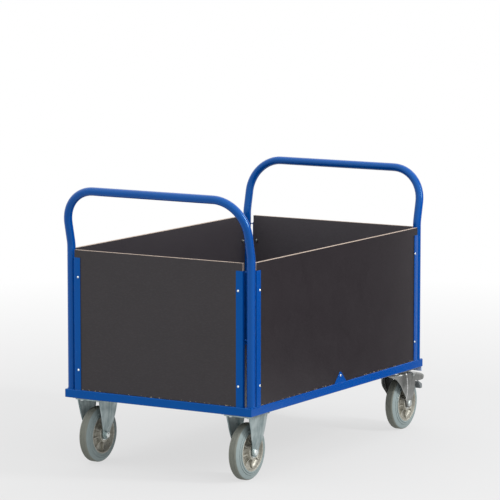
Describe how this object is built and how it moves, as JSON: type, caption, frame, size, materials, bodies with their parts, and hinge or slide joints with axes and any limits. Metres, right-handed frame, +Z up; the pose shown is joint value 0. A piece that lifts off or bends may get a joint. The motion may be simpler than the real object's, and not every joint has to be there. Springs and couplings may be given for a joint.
{
  "type": "platform truck",
  "caption": "Wheeled box truck with a welded tube frame, plywood walls, a push bar at each end, fixed front casters and braked swivel rear casters.",
  "frame": {"origin": "on the floor under the centre of the platform", "axes": "+X forward towards the fixed casters, +Y to the left, +Z up"},
  "size_m": [1.372, 0.7762, 1],
  "materials": {
    "blue_paint": "semi-gloss powder coat",
    "film_plywood": "satin phenolic film on both faces, bare cut edges",
    "zinc_plate": "passivated zinc plate",
    "bright_steel": "bright zinc plate",
    "tyre_grey": "matte non-marking rubber",
    "cast_aluminium": "die-cast, dull",
    "dark_brake": "dark coated"
  },
  "bodies": {
    "chassis": {"side_rail_left": "blue_paint", "side_rail_right": "blue_paint", "end_rail_front": "blue_paint", "end_rail_rear": "blue_paint", "cross_member_front": "blue_paint", "cross_member_middle": "blue_paint", "cross_member_rear": "blue_paint", "mount_plate_front_left": "blue_paint", "mount_plate_front_right": "blue_paint", "mount_plate_rear_left": "blue_paint", "mount_plate_rear_right": "blue_paint", "floor_board": "film_plywood", "push_bar_front": "blue_paint", "push_bar_rear": "blue_paint", "wall_front": "film_plywood", "wall_rear": "film_plywood", "wall_left": "film_plywood", "wall_right": "film_plywood", "wall_front_angles": "blue_paint", "wall_rear_angles": "blue_paint", "wall_left_angles": "blue_paint", "wall_right_angles": "blue_paint", "side_lugs": "blue_paint", "wall_screws": "bright_steel", "wall_nuts": "bright_steel", "caster_bolts": "bright_steel", "caster_nuts": "bright_steel", "corner_stops": "blue_paint", "front_left_fork": "zinc_plate", "front_right_fork": "zinc_plate", "front_axle_bolts": "bright_steel", "rear_left_top_plate": "zinc_plate", "rear_left_kingpin": "bright_steel", "rear_right_top_plate": "zinc_plate", "rear_right_kingpin": "bright_steel"},
    "front_left_wheel": {"front_left_tyre": "tyre_grey", "front_left_rim": "cast_aluminium", "front_left_bearings": "bright_steel"},
    "front_right_wheel": {"front_right_tyre": "tyre_grey", "front_right_rim": "cast_aluminium", "front_right_bearings": "bright_steel"},
    "rear_left_swivel": {"rear_left_ball_ring": "bright_steel", "rear_left_fork": "zinc_plate", "rear_left_axle_bolt": "bright_steel", "rear_left_brake_pin": "bright_steel"},
    "rear_left_wheel": {"rear_left_tyre": "tyre_grey", "rear_left_rim": "cast_aluminium", "rear_left_bearings": "bright_steel"},
    "rear_left_brake": {"rear_left_brake_pedal": "zinc_plate", "rear_left_brake_shoe": "dark_brake"},
    "rear_right_swivel": {"rear_right_ball_ring": "bright_steel", "rear_right_fork": "zinc_plate", "rear_right_axle_bolt": "bright_steel", "rear_right_brake_pin": "bright_steel"},
    "rear_right_wheel": {"rear_right_tyre": "tyre_grey", "rear_right_rim": "cast_aluminium", "rear_right_bearings": "bright_steel"},
    "rear_right_brake": {"rear_right_brake_pedal": "zinc_plate", "rear_right_brake_shoe": "dark_brake"}
  },
  "joints": [
    {"name": "front_left_wheel_spin", "type": "hinge", "parent": "chassis", "child": "front_left_wheel", "pos_m": [0.525, 0.3115, 0.1], "axis": [0, 1, 0], "continuous": true},
    {"name": "front_right_wheel_spin", "type": "hinge", "parent": "chassis", "child": "front_right_wheel", "pos_m": [0.525, -0.3115, 0.1], "axis": [0, 1, 0], "continuous": true},
    {"name": "rear_left_swivel_turn", "type": "hinge", "parent": "chassis", "child": "rear_left_swivel", "pos_m": [-0.5335, 0.3115, 0.22], "axis": [0, 0, 1], "continuous": true},
    {"name": "rear_left_wheel_spin", "type": "hinge", "parent": "rear_left_swivel", "child": "rear_left_wheel", "pos_m": [-0.5935, 0.3115, 0.1], "axis": [0, 1, 0], "continuous": true},
    {"name": "rear_left_brake_press", "type": "hinge", "parent": "rear_left_swivel", "child": "rear_left_brake", "pos_m": [-0.596, 0.3115, 0.209], "axis": [0, -1, 0], "range_deg": [0, 7], "stiffness_Nm_per_rad": 2, "springref_deg": -17.19},
    {"name": "rear_right_swivel_turn", "type": "hinge", "parent": "chassis", "child": "rear_right_swivel", "pos_m": [-0.5335, -0.3115, 0.22], "axis": [0, 0, 1], "continuous": true},
    {"name": "rear_right_wheel_spin", "type": "hinge", "parent": "rear_right_swivel", "child": "rear_right_wheel", "pos_m": [-0.5935, -0.3115, 0.1], "axis": [0, 1, 0], "continuous": true},
    {"name": "rear_right_brake_press", "type": "hinge", "parent": "rear_right_swivel", "child": "rear_right_brake", "pos_m": [-0.596, -0.3115, 0.209], "axis": [0, -1, 0], "range_deg": [0, 7], "stiffness_Nm_per_rad": 2, "springref_deg": -17.19}
  ]
}
